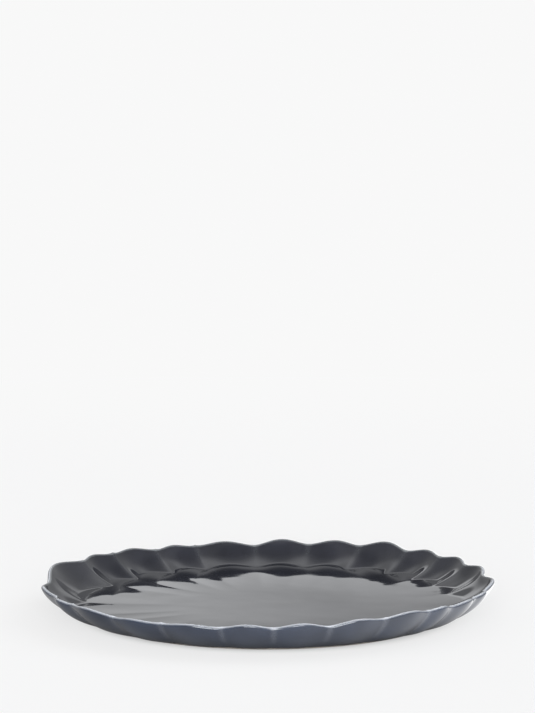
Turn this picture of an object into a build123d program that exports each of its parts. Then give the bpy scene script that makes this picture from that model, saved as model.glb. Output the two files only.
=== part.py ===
"""Round scallop-edged serving platter in dark glazed stoneware.

Frame: millimetres, Z up, origin on the table under the middle of the foot ring.
+X and +Y are the two table directions; the petal joints are counted
counter-clockwise from +X.
"""

import math
import os

from build123d import *

os.makedirs("parts", exist_ok=True)

# ---------------------------------------------------------------------------
# Driving dimensions
# ---------------------------------------------------------------------------

# The rim is pressed by hand into petals, so their widths differ (degrees).
FIRST_JOINT_ANGLE = 258.5
PETAL_WIDTHS = [
    13, 14, 15, 14, 9, 13, 10, 21, 15, 13, 13, 15,
    15, 15, 17, 12, 15, 13, 28, 20, 12, 17, 15, 16,
]
USUAL_PETAL_WIDTH = 14.0
BULGE_PER_DEGREE = 0.02   # a wide petal bulges a little more than a narrow one
FULL_BULGE_WIDTH = 18.0   # petals wider than this bulge no further
# The rim is not level either: how far each petal, and the joint before it, stands above the usual height.
PETAL_LIFTS = [
    -0.3, 0.2, 1.0, 2.5, 1.8, 0.8, 1.0, 1.2, 1.4, 1.6, 1.6, 3.1,
    0.6, 0, -1.4, -1.5, -0.3, 0.4, 3.0, -1.0, -1.2, -0.7, -2.3, -1.9,
]
JOINT_LIFTS = [
    -0.2, -0.1, -0.2, 2.5, 3.2, 2.3, 2.6, 2.0, 2.3, 2.5, 2.8, 2.2,
    2.0, 0.4, -1.1, 0.9, 0.5, 3.0, 2.6, 1.0, 1.1, 1.2, -0.3, -0.1,
]

FLOOR_RADIUS = 60.0       # flat middle of the well; outside it the floor rises gently
FLOOR_TOP = 7.2           # glazed eating surface
UNDERSIDE = 1.8           # glazed underside, clear of the table
GLAZE = 0.5               # glaze coat, drawn slightly heavy so it stays a sound solid
GLAZE_BLOCK = 1.0         # depth the glaze is drawn to before it is cut back to the clay

FOOT_OUTER = 138.0        # foot ring, outer radius where it meets the body
FOOT_INNER = 129.0
FOOT_DRAFT = 0.6          # the foot narrows towards the table
FOOT_ROUND = 0.5

# Wall of a petal, as (radius, height) control points on the glazed surface.
# "crest" is the middle of a petal, "joint" the pinched line between two petals.
# The floor runs out to the scalloped foot of the wall, where the wall turns up.
FLOOR_CREST = [(FLOOR_RADIUS, FLOOR_TOP), (88.0, 7.2), (118.0, 8.5), (156.0, 11.0)]
FLOOR_JOINT = [(FLOOR_RADIUS, FLOOR_TOP), (85.0, 7.2), (112.0, 8.0), (146.0, 10.35)]
INNER_CREST = [(164.0, 14.2), (172.8, 19.6), (176.0, 26.1)]
INNER_JOINT = [(156.0, 13.4), (166.5, 17.4), (171.9, 23.2)]
OUTER_CREST = [(FOOT_OUTER, UNDERSIDE), (149.0, 1.8), (159.0, 5.4), (169.5, 12.0), (177.4, 19.0), (179.9, 26.0)]
OUTER_JOINT = [(FOOT_OUTER, UNDERSIDE), (149.0, 1.9), (157.5, 6.6), (166.0, 12.4), (172.6, 17.6), (175.7, 22.7)]
WALL_FOOT = 3             # place of the scalloped foot of the wall in the inner control points
FLOOR_LEAN = 1.6          # how far the edge of the floor stands higher on the +X side
FLOOR_RISE = (0.0, 0.0, 0.5, 1.0)   # how much of that each control point of the floor takes
OUTER_STILL = 2           # outer control points, from the foot, that no lift moves

LIP_ROUND = 0.5           # lip height over its two ends, as a share of its width
LIP_HANDLE = 0.28         # fullness of the lip curve, as a share of its width
COAT_SEAM = 0.01          # hairline between the two coats along the top of the lip


# ---------------------------------------------------------------------------
# Helpers: everything is drawn in upright planes that pass through the axis
# ---------------------------------------------------------------------------

def radial_plane(angle):
    """Upright plane through the axis: local x runs outward, local y runs up."""
    a = math.radians(angle)
    return Plane(origin=(0, 0, 0), x_dir=(math.cos(a), math.sin(a), 0), z_dir=(math.sin(a), -math.cos(a), 0))


def blend(joint, crest, amount):
    """Control points between the joint profile and the crest profile."""
    return [Vector(*j) + (Vector(*c) - Vector(*j)) * amount for j, c in zip(joint, crest)]


def shifted(points, distance):
    """Control points moved square to their own run, to the left of it when positive."""
    moved = []
    for i, point in enumerate(points):
        before = points[max(i - 1, 0)]
        after = points[min(i + 1, len(points) - 1)]
        run = (after - before).normalized()
        moved.append(point + Vector(-run.Y, run.X) * distance)
    return moved


def lip(inner, outer):
    """The two halves of the rounded lip, from the inner wall over the top to the outer wall."""
    across = outer[-1] - inner[-1]
    width = across.length
    along = across.normalized()
    up = Vector(-along.Y, along.X)
    top = inner[-1] + across * 0.5 + up * (width * LIP_ROUND)
    rise_in = (inner[-1] - inner[-2]).normalized() * (width * LIP_HANDLE)
    rise_out = (outer[-1] - outer[-2]).normalized() * (width * LIP_HANDLE)
    level = along * (width * LIP_HANDLE)
    inner_half = [inner[-1], inner[-1] + rise_in, top - level, top]
    outer_half = [top, top + level, outer[-1] + rise_out, outer[-1]]
    return inner_half, outer_half


def back_lip(inner, outer):
    """The outer half of the lip, started a hairline off its top so the two coats only meet."""
    half = lip(inner, outer)[1]
    return [half[0] + Vector(COAT_SEAM, 0)] + half[1:]


def steps(count, low, high):
    """Evenly spaced lifts on the way from low to high, without low and with high."""
    return [low + (high - low) * i / count for i in range(1, count + 1)]


def raised(points, lifts):
    """Control points lifted, each by its own amount."""
    return [p + Vector(0, lift) for p, lift in zip(points, lifts)]


def profile(amount, half_width, lift, lean, depth):
    """Inner and outer wall of one radial section, at a depth under the glazed surface.

    The ends that meet the floor lie on a straight chord between two joints,
    so each petal butts against a flat side of the many-sided floor slab.
    """
    chord = 1.0
    if amount > 0:
        chord = math.cos(math.radians(half_width))
    inner_lifts = [share * lean for share in FLOOR_RISE] + steps(len(INNER_CREST), lean, lift)
    outer_lifts = [0] * OUTER_STILL + steps(len(OUTER_CREST) - OUTER_STILL, 0, lift)
    inner = raised(blend(FLOOR_JOINT + INNER_JOINT, FLOOR_CREST + INNER_CREST, amount), inner_lifts)
    outer = raised(blend(OUTER_JOINT, OUTER_CREST, amount), outer_lifts)
    inner = shifted(inner, -depth)
    outer = shifted(outer, depth)
    inner[0] = Vector(FLOOR_RADIUS * chord, FLOOR_TOP - depth)
    outer[0] = Vector(outer[0].X, UNDERSIDE + depth)
    return inner, outer


def petals():
    """For every petal, its three radial sections as (angle, bulge, half width, lift, lean)."""
    start = FIRST_JOINT_ANGLE
    for i, width in enumerate(PETAL_WIDTHS):
        bulge = 1 + BULGE_PER_DEGREE * (min(width, FULL_BULGE_WIDTH) - USUAL_PETAL_WIDTH)
        half = width / 2
        lift = PETAL_LIFTS[i]
        first_lift = JOINT_LIFTS[i]
        last_lift = JOINT_LIFTS[(i + 1) % len(JOINT_LIFTS)]
        sections = [(start, 0.0, first_lift), (start + half, bulge, lift), (start + width, 0.0, last_lift)]
        yield [(angle, b, half, up, FLOOR_LEAN * math.cos(math.radians(angle))) for angle, b, up in sections]
        start += width


def floor_corners():
    """Corners of the many-sided floor slab, one at the foot of each petal joint."""
    angle = FIRST_JOINT_ANGLE
    corners = []
    for width in PETAL_WIDTHS:
        a = math.radians(angle)
        corners.append((FLOOR_RADIUS * math.cos(a), FLOOR_RADIUS * math.sin(a)))
        angle += width
    return corners


# ---------------------------------------------------------------------------
# Stoneware body: floor slab and fluted wall, fired as one piece of clay
# ---------------------------------------------------------------------------

with BuildPart() as stoneware_body:
    with BuildSketch(Plane.XY.offset(UNDERSIDE + GLAZE)):
        with BuildLine():
            Polyline(*floor_corners(), close=True)
        make_face()
    extrude(amount=FLOOR_TOP - UNDERSIDE - 2 * GLAZE)
    for petal in petals():
        for angle, bulge, half, lift, lean in petal:
            inner, outer = profile(bulge, half, lift, lean, GLAZE)
            lip_in, lip_out = lip(inner, outer)
            hub_low = Vector(inner[0].X, UNDERSIDE + GLAZE)
            with BuildSketch(radial_plane(angle)):
                with BuildLine():
                    Bezier(*inner[: WALL_FOOT + 1])
                    Bezier(*inner[WALL_FOOT:])
                    Bezier(*lip_in)
                    Bezier(*lip_out)
                    Bezier(*reversed(outer))
                    Line(outer[0], hub_low)
                    Line(hub_low, inner[0])
                make_face()
        loft()

stoneware_body.part.label = "stoneware_body"
export_step(stoneware_body.part, "parts/stoneware_body.step")


# ---------------------------------------------------------------------------
# Foot ring: a low coil of the same clay, luted under the body and left dry
# ---------------------------------------------------------------------------

with BuildPart() as foot_ring:
    with BuildSketch(Plane.XZ) as foot_section:
        with BuildLine():
            Polyline(
                (FOOT_INNER, UNDERSIDE + GLAZE),
                (FOOT_INNER, UNDERSIDE),
                (FOOT_INNER + FOOT_DRAFT, 0),
                (FOOT_OUTER - FOOT_DRAFT, 0),
                (FOOT_OUTER, UNDERSIDE),
                (FOOT_OUTER, UNDERSIDE + GLAZE),
                close=True,
            )
        make_face()
        table_corners = foot_section.vertices().sort_by(Axis.Y)[:2]
        fillet(table_corners, radius=FOOT_ROUND)
    revolve(axis=Axis.Z)

foot_ring.part.label = "foot_ring"
export_step(foot_ring.part, "parts/foot_ring.step")


# ---------------------------------------------------------------------------
# Face glaze: the coat over the well and up the inner wall to the top of the lip.
# It is drawn reaching into the clay, then cut back so it lies exactly on it.
# ---------------------------------------------------------------------------

with BuildPart() as face_glaze:
    with BuildSketch(Plane.XY.offset(FLOOR_TOP - GLAZE_BLOCK)):
        with BuildLine():
            Polyline(*floor_corners(), close=True)
        make_face()
    extrude(amount=GLAZE_BLOCK)
    for petal in petals():
        for angle, bulge, half, lift, lean in petal:
            inner, outer = profile(bulge, half, lift, lean, 0)
            deep_inner, deep_outer = profile(bulge, half, lift, lean, GLAZE_BLOCK)
            lip_in = lip(inner, outer)[0]
            deep_lip_in = lip(deep_inner, deep_outer)[0]
            with BuildSketch(radial_plane(angle)):
                with BuildLine():
                    Bezier(*inner[: WALL_FOOT + 1])
                    Bezier(*inner[WALL_FOOT:])
                    Bezier(*lip_in)
                    Line(lip_in[-1], deep_lip_in[-1])
                    Bezier(*reversed(deep_lip_in))
                    Bezier(*reversed(deep_inner[WALL_FOOT:]))
                    Bezier(*reversed(deep_inner[: WALL_FOOT + 1]))
                    Line(deep_inner[0], inner[0])
                make_face()
        loft()
    add(stoneware_body.part, mode=Mode.SUBTRACT)

face_glaze.part.label = "face_glaze"
export_step(face_glaze.part, "parts/face_glaze.step")


# ---------------------------------------------------------------------------
# Back glaze: the coat from the top of the lip down the outer wall to the foot
# ---------------------------------------------------------------------------

with BuildPart() as back_glaze:
    for petal in petals():
        for angle, bulge, half, lift, lean in petal:
            inner, outer = profile(bulge, half, lift, lean, 0)
            deep_inner, deep_outer = profile(bulge, half, lift, lean, GLAZE_BLOCK)
            lip_out = back_lip(inner, outer)
            deep_lip_out = back_lip(deep_inner, deep_outer)
            under_foot = Vector(FOOT_OUTER - GLAZE_BLOCK, UNDERSIDE)
            deep_under_foot = Vector(FOOT_OUTER - GLAZE_BLOCK, UNDERSIDE + GLAZE_BLOCK)
            with BuildSketch(radial_plane(angle)):
                with BuildLine():
                    Line(under_foot, outer[0])
                    Bezier(*outer)
                    Bezier(*reversed(lip_out))
                    Line(lip_out[0], deep_lip_out[0])
                    Bezier(*deep_lip_out)
                    Bezier(*reversed(deep_outer))
                    Line(deep_outer[0], deep_under_foot)
                    Line(deep_under_foot, under_foot)
                make_face()
        loft()
    add(stoneware_body.part, mode=Mode.SUBTRACT)
    add(foot_ring.part, mode=Mode.SUBTRACT)

back_glaze.part.label = "back_glaze"
export_step(back_glaze.part, "parts/back_glaze.step")


# ---------------------------------------------------------------------------
# Base glaze: the round panel of glaze inside the foot ring
# ---------------------------------------------------------------------------

with BuildPart() as base_glaze:
    with BuildSketch(Plane.XY.offset(UNDERSIDE)):
        Circle(FOOT_INNER)
    extrude(amount=GLAZE)

base_glaze.part.label = "base_glaze"
export_step(base_glaze.part, "parts/base_glaze.step")
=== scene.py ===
"""Looks for the scallop-edged serving platter: glaze, clay, stage, light and camera."""

import math

import bpy
import numpy as np
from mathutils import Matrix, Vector


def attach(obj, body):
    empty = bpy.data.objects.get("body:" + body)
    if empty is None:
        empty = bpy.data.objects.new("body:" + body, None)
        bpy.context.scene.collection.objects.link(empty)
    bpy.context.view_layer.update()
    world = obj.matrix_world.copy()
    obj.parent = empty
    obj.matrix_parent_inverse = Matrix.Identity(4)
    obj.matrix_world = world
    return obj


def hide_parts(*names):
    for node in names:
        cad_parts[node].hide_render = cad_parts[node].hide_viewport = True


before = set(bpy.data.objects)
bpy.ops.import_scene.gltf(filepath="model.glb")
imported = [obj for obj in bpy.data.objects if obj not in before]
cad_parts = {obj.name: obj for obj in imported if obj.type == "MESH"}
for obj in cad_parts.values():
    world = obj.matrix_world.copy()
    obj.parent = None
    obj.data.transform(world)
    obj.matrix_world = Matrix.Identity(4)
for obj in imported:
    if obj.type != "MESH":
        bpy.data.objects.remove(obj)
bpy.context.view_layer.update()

MM = 0.001

# ---------------------------------------------------------------------------
# Shape of the platter, mm, the same driving dimensions as the CAD part
# ---------------------------------------------------------------------------

FIRST_JOINT_ANGLE = 258.5    # degrees round from +X
PETAL_WIDTHS = [             # degrees
    13, 14, 15, 14, 9, 13, 10, 21, 15, 13, 13, 15,
    15, 15, 17, 12, 15, 13, 28, 20, 12, 17, 15, 16,
]
USUAL_PETAL_WIDTH = 14.0
BULGE_PER_DEGREE = 0.02      # a wider petal bulges more
FULL_BULGE_WIDTH = 18.0      # up to this width
PETAL_LIFTS = [              # how far each petal's middle stands above the usual rim
    -0.3, 0.2, 1.0, 2.5, 1.8, 0.8, 1.0, 1.2, 1.4, 1.6, 1.6, 3.1,
    0.6, 0, -1.4, -1.5, -0.3, 0.4, 3.0, -1.0, -1.2, -0.7, -2.3, -1.9,
]
JOINT_LIFTS = [              # the same at the joint where each petal starts
    -0.2, -0.1, -0.2, 2.5, 3.2, 2.3, 2.6, 2.0, 2.3, 2.5, 2.8, 2.2,
    2.0, 0.4, -1.1, 0.9, 0.5, 3.0, 2.6, 1.0, 1.1, 1.2, -0.3, -0.1,
]

FLOOR_RADIUS = 60.0          # the flat middle of the well
FLOOR_TOP = 7.2
UNDERSIDE = 1.8
GLAZE = 0.5
FOOT_OUTER = 138.0

# Control points of Bezier curves, radius and height, at a crest and at a joint
FLOOR_CREST = [(FLOOR_RADIUS, FLOOR_TOP), (88.0, 7.2), (118.0, 8.5), (156.0, 11.0)]
FLOOR_JOINT = [(FLOOR_RADIUS, FLOOR_TOP), (85.0, 7.2), (112.0, 8.0), (146.0, 10.35)]
INNER_CREST = [(156.0, 11.0), (164.0, 14.2), (172.8, 19.6), (176.0, 26.1)]
INNER_JOINT = [(146.0, 10.35), (156.0, 13.4), (166.5, 17.4), (171.9, 23.2)]
OUTER_CREST = [
    (FOOT_OUTER, UNDERSIDE), (149.0, 1.8), (159.0, 5.4),
    (169.5, 12.0), (177.4, 19.0), (179.9, 26.0),
]
OUTER_JOINT = [
    (FOOT_OUTER, UNDERSIDE), (149.0, 1.9), (157.5, 6.6),
    (166.0, 12.4), (172.6, 17.6), (175.7, 22.7),
]
FLOOR_LEAN = 1.6             # how far the floor's edge stands higher towards +X
# How much of the lean and of the petal's lift each control point takes
FLOOR_RISE = ((0.0, 0.0, 0.5, 1.0), (0.0, 0.0, 0.0, 0.0))
INNER_RISE = ((1.0, 2 / 3, 1 / 3, 0.0), (0.0, 1 / 3, 2 / 3, 1.0))
OUTER_RISE = ((0.0, 0.0, 0.0, 0.0, 0.0, 0.0), (0.0, 0.0, 0.25, 0.5, 0.75, 1.0))
LIP_ROUND = 0.5              # height of the lip's round as a share of its width
LIP_HANDLE = 0.28            # length of its curves' handles, the same

# Softening that the glaze gives to the sharp lines of the clay
WALL_FOOT_SOFT = 1.4      # mm each side of the line where the floor turns into the wall
RIDGE_SOFT = 0.22         # share of half a petal, on the inner ridges at the wall's foot
RIM_SOFT = 0.60           # the same, at the rim, where the glaze has filled the notches
GROOVE_SOFT = 0.15        # the same, in the outer grooves at their foot

COLUMNS = 26              # mesh columns in a petal
GATHER = 1.5              # power that gathers them towards the joints
FLOOR_ROWS = 40           # mesh rows from the flat middle to the foot of the wall
INNER_ROWS = 40
OUTER_ROWS = 44
LIP_ROWS = 9              # in each half of the lip
BEND_ROWS = 9             # across the softened foot of the wall
WELL_RINGS = 10           # mesh rings on the flat middle of the well
INSIDE_RINGS = 3          # the same on the faces of the clay
COAT_RINGS = 4            # the same on the underside of the face coat
HUB_SHARE = 0.08          # innermost ring as a share of the outermost
TINY = 1e-9

# Where the glaze runs thin, as on the lip and on the ridges between petals; on the outer coat the
# same pale band also paints the lip's highlight and the reflections in the grooves
LIP_BAND = 1.6            # mm below the top of the lip
RIDGE_BAND = 0.22         # petal share where a ridge's band ends
RIDGE_FADE = 14.0         # mm over which a ridge grows to full strength
RIDGE_THIN_AND_SHEEN = 0.16         # how pale a ridge of strength 1 is: thinned glaze, and in the outer grooves painted reflection
FACE_RIDGES = (142.0, 1.6)    # radius where the ridges start, and their strength
BACK_GROOVE_REFLECTIONS = (150.0, 1.4)   # the same, of the outer grooves, whose pale lines are painted reflections


def bezier(points, count):
    """Points along a Bezier curve; points has shape (control, columns, 2)."""
    t = np.linspace(0.0, 1.0, count)[:, None, None]
    degree = len(points) - 1
    total = 0.0
    for i, p in enumerate(points):
        weight = math.comb(degree, i) * (1 - t) ** (degree - i) * t**i
        total = total + weight * p[None]
    return total


def columns():
    """Angle and lift of each mesh column, and its petal share for each softness.

    The share is 1 at the crest of a usual petal and 0 at a joint."""
    angles, lifts = [], []
    shares = {soft: [] for soft in (RIDGE_SOFT, RIM_SOFT, GROOVE_SOFT)}
    start = FIRST_JOINT_ANGLE
    for i, width in enumerate(PETAL_WIDTHS):
        bulge = 1 + BULGE_PER_DEGREE * (min(width, FULL_BULGE_WIDTH) - USUAL_PETAL_WIDTH)
        k = np.linspace(-1.0, 1.0, COLUMNS, endpoint=False)
        u = np.sign(k) * (1 - (1 - np.abs(k)) ** GATHER)
        d = 1 - np.abs(u)
        angles.append(start + width * (u + 1) / 2)
        beside = np.where(u < 0, JOINT_LIFTS[i], JOINT_LIFTS[(i + 1) % len(JOINT_LIFTS)])
        lifts.append(PETAL_LIFTS[i] + (beside - PETAL_LIFTS[i]) * u * u)
        for soft, share in shares.items():
            rounded = np.sqrt(d * d + soft * soft) - soft
            rounded = rounded / (math.sqrt(1 + soft * soft) - soft)
            share.append(bulge * (1 - (1 - rounded) ** 2))
        start += width
    shares = {soft: np.concatenate(share) for soft, share in shares.items()}
    return np.radians(np.concatenate(angles)), np.concatenate(lifts), shares


ANGLES, LIFTS, SHARES = columns()
LEANS = FLOOR_LEAN * np.cos(ANGLES)


def mixed(joint, crest, share):
    """Control points per column: shape (control, columns, 2)."""
    j, c = (np.array(points, float)[:, None, :] for points in (joint, crest))
    return j + (c - j) * share[None, :, None]


def raised(points, rise):
    """Control points lifted, each by its own share of the lean and of the lift."""
    leans, lifts = np.array(rise)[..., None]
    points[..., 1] += leans * LEANS + lifts * LIFTS
    return points


def wall(joint, crest, foot_soft, rise, count):
    """A wall whose joints are softened by foot_soft at its foot and by RIM_SOFT at the rim."""
    low = bezier(raised(mixed(joint, crest, SHARES[foot_soft]), rise), count)
    high = bezier(raised(mixed(joint, crest, SHARES[RIM_SOFT]), rise), count)
    up = np.linspace(0.0, 1.0, count)[:, None, None]
    return low + (high - low) * up


def soft_corner(first, second, reach):
    """Joins two runs of points that meet, rounding the corner over reach mm each side."""
    corner = second[0]
    far_1 = np.linalg.norm(first - corner, axis=2)
    far_2 = np.linalg.norm(second - corner, axis=2)
    keep_1 = int((far_1.min(axis=1) > reach).sum())
    keep_2 = int((far_2.min(axis=1) > reach).sum())
    a, b = first[:keep_1], second[len(second) - keep_2:]
    t = np.linspace(0, 1, BEND_ROWS)[1:-1, None, None]
    bend = (1 - t) ** 2 * a[-1] + 2 * t * (1 - t) * corner + t**2 * b[0]
    return np.concatenate([a, bend, b])


def lip_curve(inner_run, outer_run, count):
    """Rounded lip over the ends of the two walls: inner half and outer half."""
    start, end = inner_run[-1], outer_run[-1]
    across = end - start
    width = np.linalg.norm(across, axis=1, keepdims=True)
    along = across / width
    up = np.stack([-along[:, 1], along[:, 0]], axis=1)
    top = start + across / 2 + up * width * LIP_ROUND

    def direction(run):
        step = run[-1] - run[-2]
        return step / np.linalg.norm(step, axis=1, keepdims=True)

    h = width * LIP_HANDLE
    rise = [start, start + direction(inner_run) * h, top - along * h, top]
    fall = [top, top + along * h, end + direction(outer_run) * h, end]
    return bezier(np.stack(rise), count), bezier(np.stack(fall), count)


def offset(run, distance):
    """A run of points per column moved square to itself."""
    step = np.gradient(run, axis=0)
    step = step / np.maximum(np.linalg.norm(step, axis=2, keepdims=True), TINY)
    normal = np.stack([-step[..., 1], step[..., 0]], axis=2)
    return run + normal * distance


def section():
    """The glazed surface: floor's edge to top of lip inside, foot to top of lip outside."""
    floor = mixed(FLOOR_JOINT, FLOOR_CREST, SHARES[RIDGE_SOFT])
    floor = bezier(raised(floor, FLOOR_RISE), FLOOR_ROWS)
    inner = wall(INNER_JOINT, INNER_CREST, RIDGE_SOFT, INNER_RISE, INNER_ROWS)
    inner = soft_corner(floor, inner, WALL_FOOT_SOFT)
    outer = wall(OUTER_JOINT, OUTER_CREST, GROOVE_SOFT, OUTER_RISE, OUTER_ROWS)
    lip_in, lip_out = lip_curve(inner, outer, LIP_ROWS)
    inner = np.concatenate([inner, lip_in[1:]])
    outer = np.concatenate([outer, lip_out[::-1][1:]])
    return inner, outer


INNER, OUTER = section()
CLAY_INNER = offset(INNER, -GLAZE)
CLAY_OUTER = offset(OUTER, GLAZE)
top_in = (CLAY_INNER[-1] + CLAY_OUTER[-1]) / 2
CLAY_INNER[-1] = top_in
CLAY_OUTER[-1] = top_in


def to_space(run):
    """Radius and height per column to x, y, z in metres: shape (rows, columns, 3)."""
    x = run[..., 0] * np.cos(ANGLES)
    y = run[..., 0] * np.sin(ANGLES)
    return np.stack([x, y, run[..., 1]], axis=2) * MM


def ring_mesh(name, run, closed, hubs=()):
    """A mesh swept round the axis from a run of points per column.

    closed joins the last row to the first, and hubs closes a row onto the axis."""
    grid = to_space(run)
    rows, cols = grid.shape[:2]
    verts = [tuple(v) for v in grid.reshape(-1, 3)]
    faces = []
    for r in range(rows if closed else rows - 1):
        r2 = (r + 1) % rows
        for c in range(cols):
            c2 = (c + 1) % cols
            faces.append((r * cols + c, r * cols + c2, r2 * cols + c2, r2 * cols + c))
    for row, flip in hubs:
        hub = len(verts)
        verts.append((0.0, 0.0, grid[row, :, 2].mean()))
        for c in range(cols):
            face = (row * cols + c, row * cols + (c + 1) % cols, hub)
            faces.append(face[::-1] if flip else face)
    mesh = bpy.data.meshes.new(name)
    mesh.from_pydata(verts, [], faces)
    mesh.update()
    mesh.shade_smooth()
    obj = bpy.data.objects.new(name, mesh)
    bpy.context.scene.collection.objects.link(obj)
    return obj


def floor_rings(edge, height, count):
    """Rows from near the axis out to the flat floor's edge."""
    share = np.linspace(HUB_SHARE, 1.0, count, endpoint=False)[:, None, None]
    ring = np.repeat(edge[None], count, axis=0).copy()
    ring[..., 0] = edge[None, :, 0] * share[..., 0]
    ring[..., 1] = height
    return ring


CLAY_TOP = FLOOR_TOP - GLAZE
face_top = np.concatenate([floor_rings(INNER[0], FLOOR_TOP, WELL_RINGS), INNER])
face_under = np.concatenate([floor_rings(CLAY_INNER[0], CLAY_TOP, COAT_RINGS), CLAY_INNER])
face_run = np.concatenate([face_top, face_under[::-1]])
face_hubs = ((0, True), (len(face_run) - 1, False))
face = ring_mesh("face_glaze_skin", face_run, False, hubs=face_hubs)

back_run = np.concatenate([OUTER, CLAY_OUTER[::-1]])
back = ring_mesh("back_glaze_skin", back_run, True)

clay_floor = floor_rings(CLAY_INNER[0], CLAY_TOP, INSIDE_RINGS)
clay_under = floor_rings(CLAY_OUTER[0], UNDERSIDE + GLAZE, INSIDE_RINGS)
body_run = np.concatenate([clay_floor, CLAY_INNER, CLAY_OUTER[::-1][1:], clay_under[::-1]])
body_hubs = ((0, True), (len(body_run) - 1, False))
body = ring_mesh("stoneware_core", body_run, False, hubs=body_hubs)

for piece, node in ((face, "face_glaze"), (back, "back_glaze"), (body, "stoneware_body")):
    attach(piece, "root")
    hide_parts(node)


def paint_thin_and_sheen(obj, thin_and_sheen):
    """Stores at the object's first vertices, as a mesh attribute, how pale the glaze runs: where
    it thins, and on the outer coat where it paints the lip's highlight and the grooves'
    reflections.
    """
    layer = obj.data.attributes.new("thin_and_sheen", "FLOAT", "POINT")
    values = np.zeros(len(obj.data.vertices), np.float32)
    values[: len(thin_and_sheen)] = thin_and_sheen
    layer.data.foreach_set("value", values)


def thin_and_sheen_values(run, share, start_radius, strength):
    """1 where the glaze is palest: near the top of the lip, and less along the ridges, where it
    thins; on the outer coat this also paints the lip's highlight and the grooves' reflections.
    """
    lip = np.clip((run[..., 1] - (run[-1][None, :, 1] - LIP_BAND)) / LIP_BAND, 0, 1)
    ridge = np.clip(1 - share / RIDGE_BAND, 0, 1)[None, :]
    ridge = ridge * np.clip((run[..., 0] - start_radius) / RIDGE_FADE, 0, 1)
    return np.clip(lip + strength * ridge * RIDGE_THIN_AND_SHEEN, 0, 1)


well_thin = np.zeros((WELL_RINGS, len(ANGLES)))
wall_thin = thin_and_sheen_values(INNER, SHARES[RIDGE_SOFT], *FACE_RIDGES)
paint_thin_and_sheen(face, np.concatenate([well_thin, wall_thin]).reshape(-1))
# On the outer coat this pale band paints the lip's highlight and the grooves' reflections,
# besides where the glaze thins
back_thin_and_highlight = thin_and_sheen_values(OUTER, SHARES[GROOVE_SOFT], *BACK_GROOVE_REFLECTIONS)
paint_thin_and_sheen(back, back_thin_and_highlight.reshape(-1))

# ---------------------------------------------------------------------------
# Materials
# ---------------------------------------------------------------------------


GLAZE_IOR = 1.55
GLAZE_SPECULAR = 0.5
CLOUD = {"Scale": 26.0, "Detail": 4.0, "Roughness": 0.55}
CLOUD_STOPS = (0.35, 0.68)
GLAZE_SPECK = {"Scale": 900.0, "Detail": 2.0, "Roughness": 0.6}
SPECK_SHARE = 0.5             # how much the specks break up the pale band: thinned glaze, and on the outer coat painted highlight and reflection
GLOSS = {"Scale": 60.0, "Detail": 3.0, "Roughness": 0.5}
GLAZE_ROUGHNESS = (0.02, 0.05)
RIPPLE = {"Scale": 38.0, "Detail": 1.0, "Roughness": 0.4}
RIPPLE_BUMP = {"Strength": 0.35, "Distance": 0.0006}

CLAY_SPECK = {"Scale": 700.0, "Detail": 6.0, "Roughness": 0.7}
CLAY_STOPS = (0.38, 0.62)
CLAY_ROUGHNESS = (0.70, 0.95)
CLAY_BUMP = {"Strength": 0.4, "Distance": 0.0003}

RANGE_SOCKETS = ("From Min", "From Max", "To Min", "To Max")
COLOUR_B = 7                  # index of the second colour socket of a mix node


class Nodes:
    """Small helper for building a node tree."""

    SETTINGS = ("operation", "data_type", "attribute_name", "interpolation_type", "use_clamp")

    def __init__(self, tree):
        self.tree = tree
        tree.nodes.clear()

    def add(self, kind, **values):
        """A new node, each value set on the node or on the input of its name."""
        node = self.tree.nodes.new(kind)
        for key, value in values.items():
            if key in self.SETTINGS:
                setattr(node, key, value)
            else:
                node.inputs[key.replace("_", " ")].default_value = value
        return node

    def link(self, a, out, b, into):
        self.tree.links.new(a.outputs[out], b.inputs[into])


def math_node(n, operation, first, second, use_clamp=False):
    """Math of two inputs, each a number or a (node, output) pair."""
    node = n.add("ShaderNodeMath", operation=operation, use_clamp=use_clamp)
    for i, value in enumerate((first, second)):
        if isinstance(value, tuple):
            n.link(value[0], value[1], node, i)
        else:
            node.inputs[i].default_value = value
    return node


def smooth(n, source, out, low, high):
    """0 below low and 1 above high, or the other way round when high is under low."""
    node = n.add("ShaderNodeMapRange", interpolation_type="SMOOTHSTEP")
    node.inputs["From Min"].default_value = low
    node.inputs["From Max"].default_value = high
    n.link(source, out, node, "Value")
    return node


def map_range(n, source, out, limits):
    """A straight map; limits has the first two or all four of the range sockets' values."""
    node = n.add("ShaderNodeMapRange")
    sockets = RANGE_SOCKETS if len(limits) == len(RANGE_SOCKETS) else RANGE_SOCKETS[2:]
    for socket, value in zip(sockets, limits):
        node.inputs[socket].default_value = value
    n.link(source, out, node, "Value")
    return node


def ramp(nodes, stops):
    """A colour ramp from (place, colour) stops."""
    node = nodes.add("ShaderNodeValToRGB")
    elements = node.color_ramp.elements
    while len(elements) < len(stops):
        elements.new(0.5)
    for element, (place, colour) in zip(elements, stops):
        element.position = place
        element.color = colour
    return node


def noise(n, coord, settings):
    """Noise in the object's own coordinates."""
    node = n.add("ShaderNodeTexNoise", **settings)
    n.link(coord, "Object", node, "Vector")
    return node


def add_bump(n, height, settings, shader):
    bump = n.add("ShaderNodeBump", **settings)
    n.link(height, "Fac", bump, "Height")
    n.link(bump, "Normal", shader, "Normal")


def start_material(name):
    """A new material with its node tree and its shader joined to the output."""
    mat = bpy.data.materials.new(name)
    mat.use_nodes = True
    n = Nodes(mat.node_tree)
    out = n.add("ShaderNodeOutputMaterial")
    shader = n.add("ShaderNodeBsdfPrincipled")
    n.link(shader, "BSDF", out, "Surface")
    return mat, n, shader, n.add("ShaderNodeTexCoord")


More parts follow.
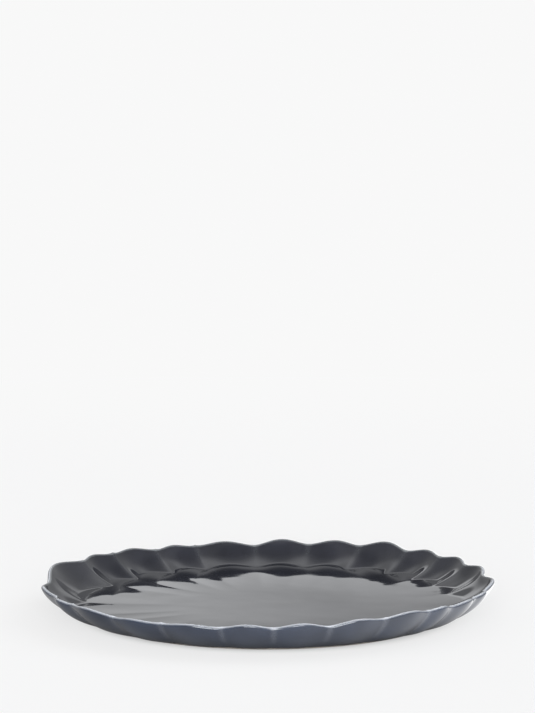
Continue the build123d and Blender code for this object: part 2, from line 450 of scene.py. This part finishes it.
def glaze_material(name, deep, light, thin_and_sheen):
    """Glossy dark glaze: cloudy colour, paler where it breaks over edges and, on the outer coat,
    where that pale colour paints highlight and reflections; faint ripple.
    """
    mat, n, shader, coord = start_material(name)
    shader.inputs["IOR"].default_value = GLAZE_IOR
    shader.inputs["Specular IOR Level"].default_value = GLAZE_SPECULAR

    tone = ramp(n, list(zip(CLOUD_STOPS, (deep, light))))
    n.link(noise(n, coord, CLOUD), "Fac", tone, "Fac")

    # Pale colour where the glaze thins; on the outer coat it also paints the lip's highlight and
    # the grooves' reflections
    edge = n.add("ShaderNodeAttribute", attribute_name="thin_and_sheen")
    speck = noise(n, coord, GLAZE_SPECK)
    breaking = math_node(n, "MULTIPLY", (speck, "Fac"), SPECK_SHARE)
    breaking = math_node(n, "SUBTRACT", (breaking, "Value"), SPECK_SHARE / 2)
    total = math_node(n, "ADD", (edge, "Fac"), (breaking, "Value"))
    amount = math_node(n, "MULTIPLY", (total, "Value"), (edge, "Fac"), use_clamp=True)
    mix = n.add("ShaderNodeMix", data_type="RGBA")
    n.link(amount, "Value", mix, "Factor")
    n.link(tone, "Color", mix, "A")
    mix.inputs[COLOUR_B].default_value = thin_and_sheen
    n.link(mix, "Result", shader, "Base Color")

    rough = map_range(n, noise(n, coord, GLOSS), "Fac", GLAZE_ROUGHNESS)
    n.link(rough, "Result", shader, "Roughness")
    add_bump(n, noise(n, coord, RIPPLE), RIPPLE_BUMP, shader)
    return mat


def clay_material(name, dark, pale):
    """Dry fired stoneware: speckled and rough."""
    mat, n, shader, coord = start_material(name)
    speck = noise(n, coord, CLAY_SPECK)
    tone = ramp(n, list(zip(CLAY_STOPS, (dark, pale))))
    n.link(speck, "Fac", tone, "Fac")
    n.link(tone, "Color", shader, "Base Color")
    rough = map_range(n, speck, "Fac", CLAY_ROUGHNESS)
    n.link(rough, "Result", shader, "Roughness")
    add_bump(n, speck, CLAY_BUMP, shader)
    return mat


DEEP = (0.008, 0.0085, 0.012, 1)
LIGHT = (0.014, 0.0145, 0.020, 1)
THIN = (0.15, 0.155, 0.16, 1)
# The outer coat's glaze is bluer and paler than the face's: partly its own tone, partly painted
# light that the outer wall catches
BACK_DEEP = (0.008, 0.0115, 0.021, 1)
BACK_LIGHT = (0.015, 0.0210, 0.037, 1)
# Pale outer glaze at the lip and grooves: partly glaze breaking thin, partly painted highlight on
# the lip and painted reflection in the grooves
BACK_THIN_AND_HIGHLIGHT = (0.42, 0.43, 0.46, 1)

CLAY_DARK = (0.05, 0.045, 0.042, 1)
CLAY_PALE = (0.09, 0.08, 0.075, 1)
FOOT_DARK = (0.10, 0.085, 0.075, 1)
FOOT_PALE = (0.17, 0.15, 0.13, 1)

base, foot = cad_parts["base_glaze"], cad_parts["foot_ring"]
dress = {
    face: glaze_material("slate_glaze_face", DEEP, LIGHT, THIN),
    back: glaze_material("slate_glaze_back", BACK_DEEP, BACK_LIGHT, BACK_THIN_AND_HIGHLIGHT),
    base: glaze_material("slate_glaze_base", DEEP, LIGHT, THIN),
    body: clay_material("fired_clay", CLAY_DARK, CLAY_PALE),
    foot: clay_material("dry_foot_clay", FOOT_DARK, FOOT_PALE),
}
for obj, mat in dress.items():
    obj.data.materials.clear()
    obj.data.materials.append(mat)

# ---------------------------------------------------------------------------
# Stage: pale paper table, lit by a studio painted on the sky; the paper also glows, which paints
# a shadow round the platter and light into its reflections
# ---------------------------------------------------------------------------

TABLE_HALF = 9.0          # half the width of the table, m
WHITE = (1, 1, 1, 1)
PAPER = 0.94              # linear brightness of the plain background
PAPER_COLOUR = (0.206, 0.202, 0.199, 1)   # how much light the lit paper gives back
PAPER_GLOW = 0.70         # what overexposure adds to it for the camera
GLOW_FROM_TO = (0.110, 0.155)      # metres from the axis where that glow starts and is full; the missing glow close in paints a soft shadow round the platter
PAINTED_BOUNCE_FROM_TO = (0.143, 0.195)    # the same, for the glow that the paper shows only in the platter's reflections; none close in paints the shade under the rim
PAINTED_BOUNCE = (-0.14, 0.20, 0.40, 1.9)  # x from and to, and the brightness of that painted light there
PAPER_EDGE = (0.60, 1.40)          # metres from the axis where the lit paper fades into the plain

mesh = bpy.data.meshes.new("table")
corners = [(TABLE_HALF * x, TABLE_HALF * y, 0) for x, y in ((-1, -1), (1, -1), (1, 1), (-1, 1))]
mesh.from_pydata(corners, [], [(0, 1, 2, 3)])
mesh.update()
table = bpy.data.objects.new("table", mesh)
bpy.context.scene.collection.objects.link(table)

mat = bpy.data.materials.new("table_paper")
mat.use_nodes = True
n = Nodes(mat.node_tree)
out = n.add("ShaderNodeOutputMaterial")
coord = n.add("ShaderNodeTexCoord")
length = n.add("ShaderNodeVectorMath", operation="LENGTH")
n.link(coord, "Object", length, 0)
far = smooth(n, length, "Value", *PAPER_EDGE)
diffuse = n.add("ShaderNodeBsdfDiffuse", Color=PAPER_COLOUR)
# The paper glows: for the camera only away from the platter, a painted shadow round it; in
# reflections more towards +X, a painted pool of light with painted shade close in
across = n.add("ShaderNodeSeparateXYZ")
n.link(coord, "Object", across, "Vector")
bright = map_range(n, across, "X", PAINTED_BOUNCE)
lit_from = smooth(n, length, "Value", *PAINTED_BOUNCE_FROM_TO)
painted_bounce = math_node(n, "MULTIPLY", (lit_from, "Result"), (bright, "Result"))
glow_from = smooth(n, length, "Value", *GLOW_FROM_TO)
shown = math_node(n, "MULTIPLY", (glow_from, "Result"), PAPER_GLOW)
path = n.add("ShaderNodeLightPath")
strength = n.add("ShaderNodeMix", data_type="FLOAT")
n.link(path, "Is Camera Ray", strength, "Factor")
n.link(painted_bounce, "Value", strength, "A")
n.link(shown, "Value", strength, "B")
own = n.add("ShaderNodeEmission", Color=WHITE)
n.link(strength, "Result", own, "Strength")
near_paper = n.add("ShaderNodeAddShader")
n.link(diffuse, "BSDF", near_paper, 0)
n.link(own, "Emission", near_paper, 1)
plain = n.add("ShaderNodeEmission", Color=WHITE, Strength=PAPER)
mix = n.add("ShaderNodeMixShader")
n.link(far, "Result", mix, "Fac")
n.link(near_paper, "Shader", mix, 1)
n.link(plain, "Emission", mix, 2)
n.link(mix, "Shader", out, "Surface")
table.data.materials.append(mat)

# Brightness of the studio by the angle over the platter, in degrees: 0 is level behind it,
# 90 overhead and 180 level in front
SKY = [
    (0, 0.30), (20, 0.35), (34, 0.60), (44, 1.05), (51, 1.05), (63, 0.55), (75, 0.36),
    (118, 0.38), (136, 0.75), (150, 1.20), (165, 1.20), (180, 1.00),
]
SKY_TOP = 2.0                # brightness that a ramp's white stands for
SKY_SIDE = (0.25, 0.50)      # sideways share of a direction where it gives way to the sides
SIDE_LEVEL = 0.55            # brightness of the sides
ROOM_COLOUR = (0.97, 0.98, 1.0, 1)
# A pale sheet low behind the platter, by the same angle, which the floor reflects
BACKDROP = [(0, 0.02), (5.5, 0.12), (11, 0.50), (17, 1.00), (24, 1.05), (27, 0.0)]
BACKDROP_SIDE = (0.24, 0.40)     # sideways share of a direction where it fades out
BACKDROP_FALL = (-0.02, 0.04, 1.05, 0.44)   # x from and to, and its strength there
FRONT_LEVEL = 24.0           # brightness of a strong low light behind the camera
FRONT_COLOUR = (0.95, 0.98, 1.0, 1)
FRONT_HEIGHT = (0.42, 0.36)  # upward share of a direction where it starts and is full
FRONT_WIDTH = (0.86, 0.95)   # the same, of the share towards the camera

world = bpy.data.worlds.new("studio")
bpy.context.scene.world = world
world.use_nodes = True
n = Nodes(world.node_tree)
out = n.add("ShaderNodeOutputWorld")
coord = n.add("ShaderNodeTexCoord")
split = n.add("ShaderNodeSeparateXYZ")
n.link(coord, "Generated", split, "Vector")
sideways = n.add("ShaderNodeMath", operation="ABSOLUTE")
n.link(split, "X", sideways, 0)


def around(levels):
    """Brightness by the angle over the platter, from (degrees, level) pairs."""
    angle = math_node(n, "ARCTAN2", (split, "Z"), (split, "Y"))
    share = math_node(n, "DIVIDE", (angle, "Value"), math.pi)
    stops = [(degrees / 180, (level / SKY_TOP,) * 3 + (1,)) for degrees, level in levels]
    node = ramp(n, stops)
    n.link(share, "Value", node, "Fac")
    return math_node(n, "MULTIPLY", (node, "Color"), SKY_TOP)


sky = around(SKY)
side = smooth(n, sideways, "Value", SKY_SIDE[1], SKY_SIDE[0])
above_side = math_node(n, "SUBTRACT", (sky, "Value"), SIDE_LEVEL)
sky_part = math_node(n, "MULTIPLY", (above_side, "Value"), (side, "Result"))
sky_part = math_node(n, "ADD", (sky_part, "Value"), SIDE_LEVEL)

sheet = around(BACKDROP)
sheet_side = smooth(n, sideways, "Value", BACKDROP_SIDE[1], BACKDROP_SIDE[0])
sheet_part = math_node(n, "MULTIPLY", (sheet, "Value"), (sheet_side, "Result"))
fall = map_range(n, split, "X", BACKDROP_FALL)
sheet_part = math_node(n, "MULTIPLY", (sheet_part, "Value"), (fall, "Result"))
room = math_node(n, "ADD", (sky_part, "Value"), (sheet_part, "Value"))
room_light = n.add("ShaderNodeBackground", Color=ROOM_COLOUR)
n.link(room, "Value", room_light, "Strength")

forward = math_node(n, "MULTIPLY", (split, "Y"), -1.0)
facing = smooth(n, forward, "Value", *FRONT_WIDTH)
low_down = smooth(n, split, "Z", *FRONT_HEIGHT)
front = math_node(n, "MULTIPLY", (facing, "Result"), (low_down, "Result"))
front = math_node(n, "MULTIPLY", (front, "Value"), FRONT_LEVEL)
front_light = n.add("ShaderNodeBackground", Color=FRONT_COLOUR)
n.link(front, "Value", front_light, "Strength")
lit = n.add("ShaderNodeAddShader")
n.link(room_light, "Background", lit, 0)
n.link(front_light, "Background", lit, 1)

seen = n.add("ShaderNodeBackground", Color=WHITE, Strength=PAPER)
path = n.add("ShaderNodeLightPath")
mix = n.add("ShaderNodeMixShader")
n.link(path, "Is Camera Ray", mix, "Fac")
n.link(lit, "Shader", mix, 1)
n.link(seen, "Background", mix, 2)
n.link(mix, "Shader", out, "Surface")

# A broad cool light from the right and behind, for the soft shadow to the left
KEY_LEVEL = 1.1
KEY_SIZE = math.radians(40)
KEY_COLOUR = (0.86, 0.93, 1.0)
KEY_FROM = (0.80, 0.35, 0.60)

key = bpy.data.lights.new("key", "SUN")
key.energy = KEY_LEVEL
key.angle = KEY_SIZE
key.color = KEY_COLOUR
key_object = bpy.data.objects.new("key", key)
bpy.context.scene.collection.objects.link(key_object)
key_object.rotation_mode = "QUATERNION"
key_object.rotation_quaternion = Vector(KEY_FROM).to_track_quat("Z", "Y")
key_object.visible_glossy = False

# ---------------------------------------------------------------------------
# Camera: a long lens, 11.45 degrees above the level of the table
# ---------------------------------------------------------------------------

DISTANCE = 2.88                    # metres from the middle of the platter's foot
LOOK_DOWN = math.radians(11.45)
AIM_ABOVE = math.radians(4.075)    # the platter sits low in the frame
ROLL = math.radians(-0.05)
LENS = 182.2                       # mm, on the sensor below
SENSOR = 36.0
CLIP = (0.05, 100.0)

camera_data = bpy.data.cameras.new("camera")
camera_data.lens = LENS
camera_data.sensor_width = SENSOR
camera_data.clip_start, camera_data.clip_end = CLIP
camera = bpy.data.objects.new("camera", camera_data)
bpy.context.scene.collection.objects.link(camera)
camera.location = (
    0.0, -DISTANCE * math.cos(LOOK_DOWN), DISTANCE * math.sin(LOOK_DOWN),
)
camera.rotation_mode = "XYZ"
camera.rotation_euler = (math.pi / 2 - LOOK_DOWN + AIM_ABOVE, 0.0, 0.0)
camera.rotation_euler.rotate_axis("Z", ROLL)
bpy.context.scene.camera = camera

bpy.context.scene.view_settings.view_transform = "Standard"
bpy.context.scene.view_settings.look = "None"
